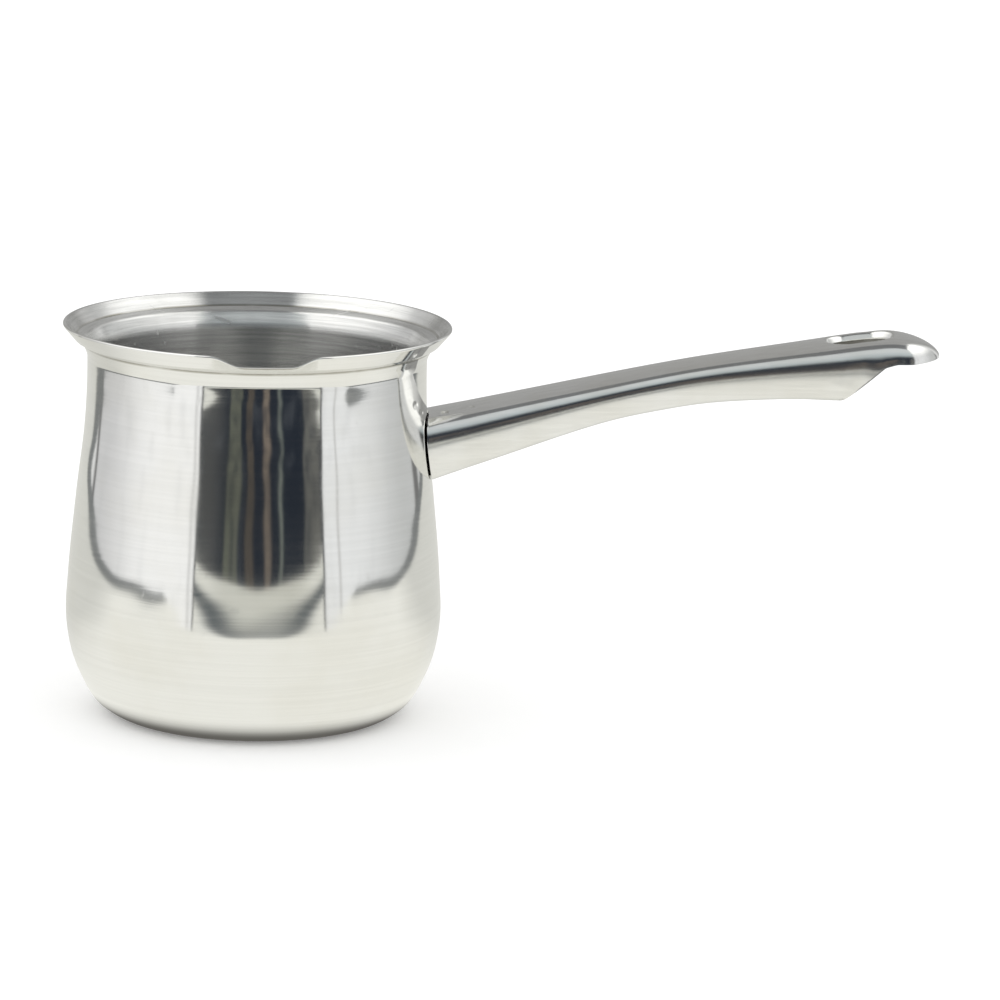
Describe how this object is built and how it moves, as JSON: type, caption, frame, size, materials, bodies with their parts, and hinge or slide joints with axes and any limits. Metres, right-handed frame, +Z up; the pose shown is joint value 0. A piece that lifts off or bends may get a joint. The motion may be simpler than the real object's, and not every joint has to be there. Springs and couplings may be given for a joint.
{
  "type": "turkish coffee pot",
  "caption": "Deep-drawn steel coffee pot with a round belly, flared rim and pressed pouring lip, on a long hollow handle with a hanging hole.",
  "frame": {"origin": "centre of the flat base, on the pot's axis, in the plane the pot stands on", "axes": "+Z up along the pot's axis, +X from the axis along the handle, -Y towards the pouring lip"},
  "size_m": [0.2043, 0.091, 0.0916],
  "materials": {
    "polished_pot_steel": "bright polished outside with faint turning lines, brushed round inside",
    "pressed_handle_steel": "bright polished, softly rounded edges",
    "plain_bracket_steel": "dull rolled sheet",
    "weld_steel": "dull spot-weld metal"
  },
  "bodies": {
    "root": {"pot_body": "polished_pot_steel", "handle": "pressed_handle_steel", "handle_bracket": "plain_bracket_steel", "handle_weld_1": "weld_steel", "handle_weld_2": "weld_steel", "neck_weld_1": "weld_steel", "neck_weld_2": "weld_steel", "neck_weld_3": "weld_steel", "neck_weld_4": "weld_steel"}
  },
  "joints": []
}
